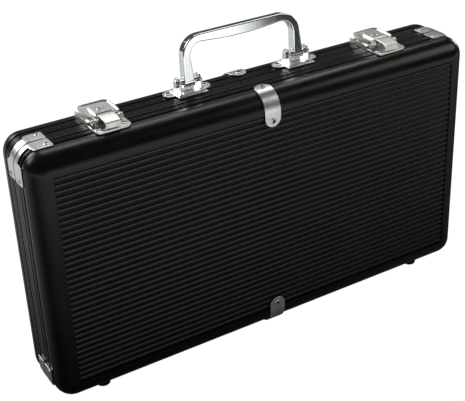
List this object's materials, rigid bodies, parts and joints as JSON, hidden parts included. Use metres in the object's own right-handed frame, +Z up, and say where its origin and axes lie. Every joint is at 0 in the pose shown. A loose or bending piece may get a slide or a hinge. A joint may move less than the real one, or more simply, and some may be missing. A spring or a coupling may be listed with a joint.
{
  "type": "poker chip case",
  "caption": "Flat aluminium carry case for poker chips: ribbed black shell, hinged lid, key latches, folding handle, and trays for chips, cards and dice.",
  "frame": {"origin": "on the floor under the middle of the case, at the underside of its feet", "axes": "X along the case, Y from the lid in front to the base behind, Z up to the handle"},
  "size_m": [0.3908, 0.069, 0.2564],
  "materials": {
    "black_trim": "satin black anodised, soft highlights",
    "black_panel": "satin black, ribbed",
    "nickel": "bright nickel plate",
    "chrome": "polished chrome plate",
    "rubber": "matt black rubber",
    "flock": "black flocking"
  },
  "bodies": {
    "base": {"base_band_bottom": "black_trim", "base_band_left": "black_trim", "base_band_right": "black_trim", "base_band_top": "black_trim", "base_corner_bottom_left": "nickel", "base_corner_bottom_right": "nickel", "base_corner_top_left": "nickel", "base_corner_top_right": "nickel", "base_foot_left": "rubber", "base_foot_right": "rubber", "base_frame_left": "black_trim", "base_frame_right": "black_trim", "base_panel": "black_panel", "base_strap_bottom": "nickel", "base_strap_top": "nickel", "handle_bracket_left": "nickel", "handle_bracket_right": "nickel", "handle_pin_left": "nickel", "handle_pin_right": "nickel", "hinge_leaf_base_left": "nickel", "hinge_leaf_base_right": "nickel", "hinge_pin_left": "nickel", "hinge_pin_right": "nickel", "latch_base_left": "nickel", "latch_base_right": "nickel", "latch_pin_left": "chrome", "latch_pin_right": "chrome", "tray_left": "flock", "tray_middle": "flock", "tray_right": "flock"},
    "lid": {"hinge_leaf_lid_left": "nickel", "hinge_leaf_lid_right": "nickel", "lid_band_bottom": "black_trim", "lid_band_left": "black_trim", "lid_band_right": "black_trim", "lid_band_top": "black_trim", "lid_corner_bottom_left": "nickel", "lid_corner_bottom_right": "nickel", "lid_corner_top_left": "nickel", "lid_corner_top_right": "nickel", "lid_foot_left": "rubber", "lid_foot_right": "rubber", "lid_frame_left": "black_trim", "lid_frame_right": "black_trim", "lid_lining": "flock", "lid_panel": "black_panel", "lid_strap_bottom": "nickel", "lid_strap_top": "nickel", "strike_left": "nickel", "strike_right": "nickel"},
    "handle": {"handle": "chrome"},
    "lever_left": {"latch_lever_left": "nickel"},
    "hook_left": {"latch_hook_left": "nickel"},
    "plug_left": {"latch_plug_left": "chrome"},
    "lever_right": {"latch_lever_right": "nickel"},
    "hook_right": {"latch_hook_right": "nickel"},
    "plug_right": {"latch_plug_right": "chrome"}
  },
  "joints": [
    {"name": "lid_hinge", "type": "hinge", "parent": "base", "child": "lid", "pos_m": [0, -0.0032, 0.0023], "axis": [1, 0, 0], "range_deg": [0, 100]},
    {"name": "handle_fold", "type": "hinge", "parent": "base", "child": "handle", "pos_m": [0, 0.008, 0.2215], "axis": [1, 0, 0], "range_deg": [0, 95]},
    {"name": "lever_lift_left", "type": "hinge", "parent": "base", "child": "lever_left", "pos_m": [-0.1235, -0.008, 0.2173], "axis": [1, 0, 0], "range_deg": [0, 80]},
    {"name": "hook_swing_left", "type": "hinge", "parent": "lever_left", "child": "hook_left", "pos_m": [-0.1235, -0.0056, 0.2191], "axis": [1, 0, 0], "range_deg": [-96, 0]},
    {"name": "plug_turn_left", "type": "hinge", "parent": "lever_left", "child": "plug_left", "pos_m": [-0.1235, 0.0038, 0.2181], "axis": [0, 0, 1], "range_deg": [0, 90]},
    {"name": "lever_lift_right", "type": "hinge", "parent": "base", "child": "lever_right", "pos_m": [0.1235, -0.008, 0.2173], "axis": [1, 0, 0], "range_deg": [0, 80]},
    {"name": "hook_swing_right", "type": "hinge", "parent": "lever_right", "child": "hook_right", "pos_m": [0.1235, -0.0056, 0.2191], "axis": [1, 0, 0], "range_deg": [-96, 0]},
    {"name": "plug_turn_right", "type": "hinge", "parent": "lever_right", "child": "plug_right", "pos_m": [0.1235, 0.0038, 0.2181], "axis": [0, 0, 1], "range_deg": [0, 90]}
  ],
  "couplings": [
    {"joint": "hook_swing_left", "follows": "lever_lift_left", "ratio": -1.2},
    {"joint": "hook_swing_right", "follows": "lever_lift_right", "ratio": -1.2}
  ]
}
